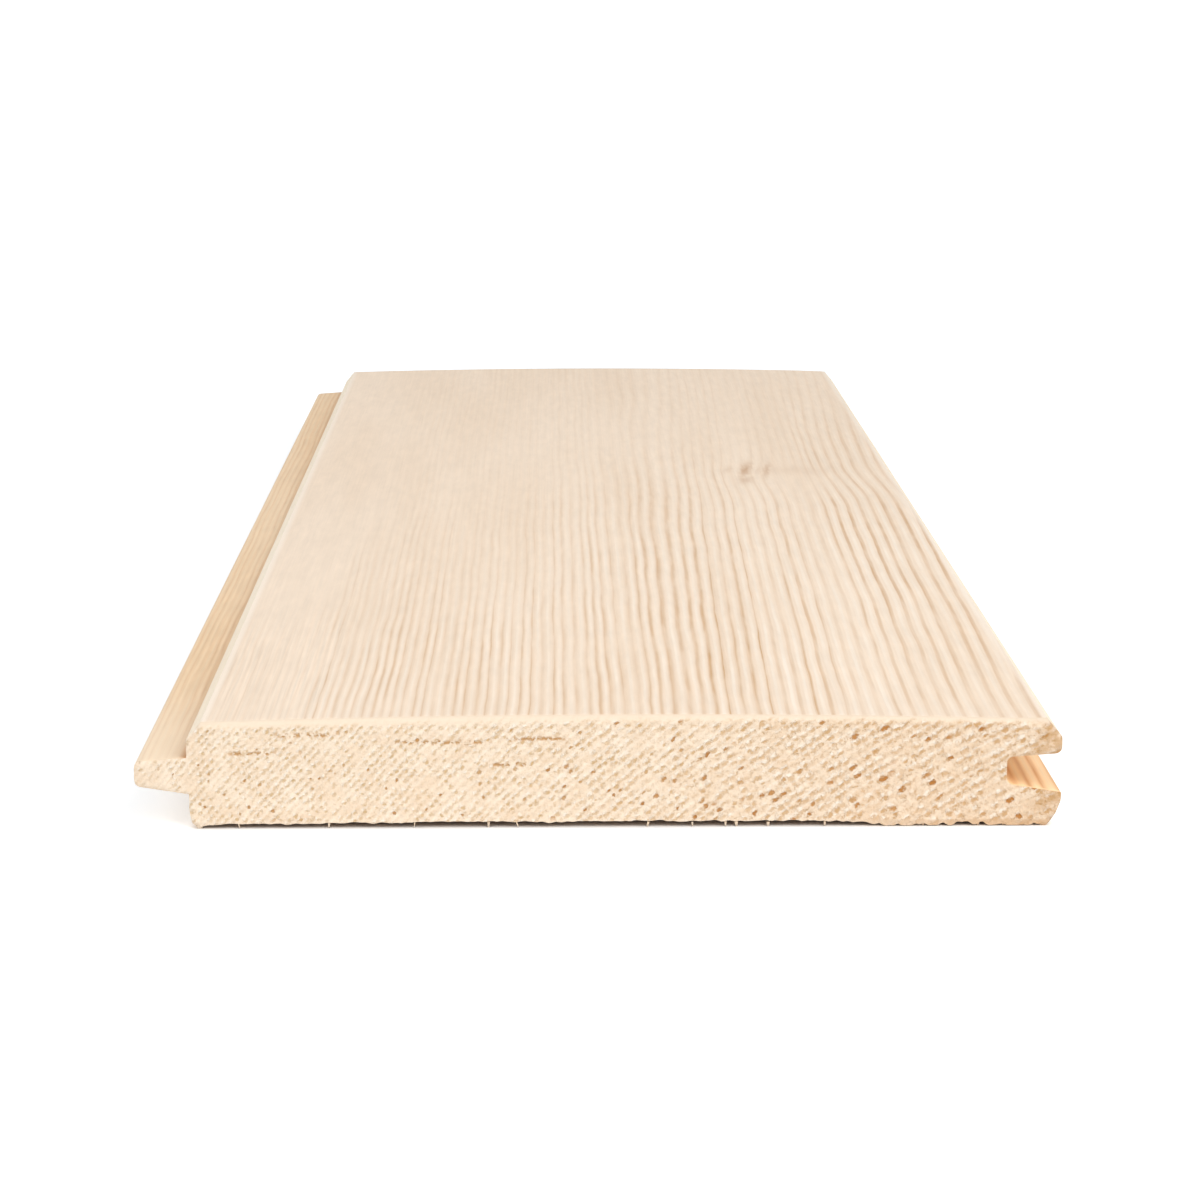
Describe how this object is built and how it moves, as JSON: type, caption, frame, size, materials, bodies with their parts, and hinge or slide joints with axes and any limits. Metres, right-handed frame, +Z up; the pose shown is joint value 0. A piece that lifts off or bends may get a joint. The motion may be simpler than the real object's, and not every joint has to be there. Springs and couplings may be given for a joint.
{
  "type": "tongue and groove board",
  "caption": "Softwood board, planed flat with a slightly crowned, chamfered face, with a tapered tongue along one edge and the matching groove along the other.",
  "frame": {"origin": "on the back, in the middle of the overall width (tongue included) and of the length", "axes": "+X across the board from the tongue edge to the groove edge, +Y along the grain, away from the end that the picture shows in front, +Z up from the back to the face"},
  "size_m": [0.1452, 0.425, 0.018],
  "materials": {
    "softwood": "planed, unfinished"
  },
  "bodies": {
    "root": {"board": "softwood"}
  },
  "joints": []
}
